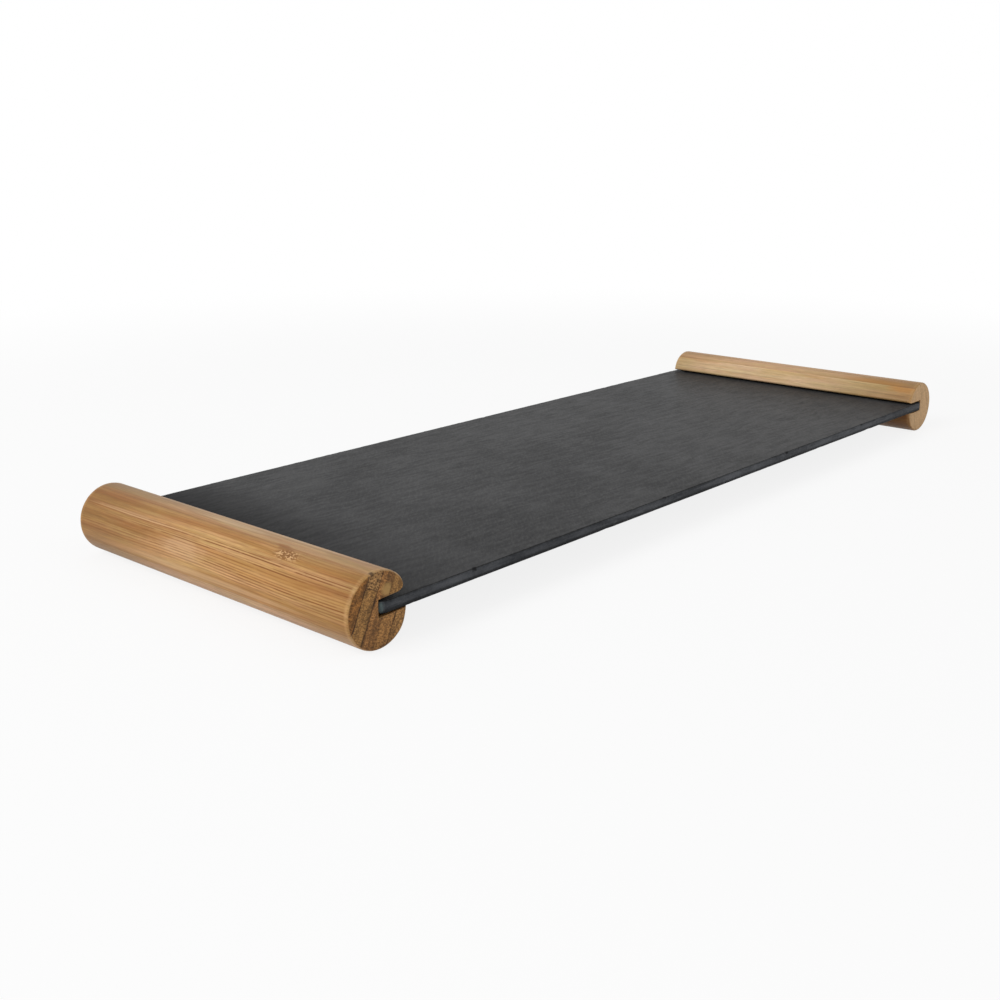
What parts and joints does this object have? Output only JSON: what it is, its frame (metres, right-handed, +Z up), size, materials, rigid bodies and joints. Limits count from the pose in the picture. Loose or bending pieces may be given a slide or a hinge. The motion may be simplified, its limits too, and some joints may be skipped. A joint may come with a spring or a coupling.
{
  "type": "slate serving board",
  "caption": "Long slate serving board with round bamboo rod handles at its short ends, each slotted to hold the slate clear of the table.",
  "frame": {"origin": "under the middle of the board, on the surface that the two rods stand on", "axes": "+X along the board's length, towards the right rod; +Y along the rods; +Z up"},
  "size_m": [0.488, 0.174, 0.03],
  "materials": {
    "slate": "matte",
    "bamboo": "satin",
    "adhesive": "matte"
  },
  "bodies": {
    "root": {"slate_slab": "slate", "left_back_strip": "bamboo", "left_core_strip_upper": "bamboo", "left_core_strip_lower": "bamboo", "left_slot_strip": "bamboo", "left_upper_lip": "bamboo", "left_lower_lip": "bamboo", "left_lower_edge": "bamboo", "left_adhesive": "adhesive", "right_back_strip": "bamboo", "right_core_strip_upper": "bamboo", "right_core_strip_lower": "bamboo", "right_slot_strip": "bamboo", "right_upper_lip": "bamboo", "right_lower_lip": "bamboo", "right_lower_edge": "bamboo", "right_adhesive": "adhesive"}
  },
  "joints": []
}
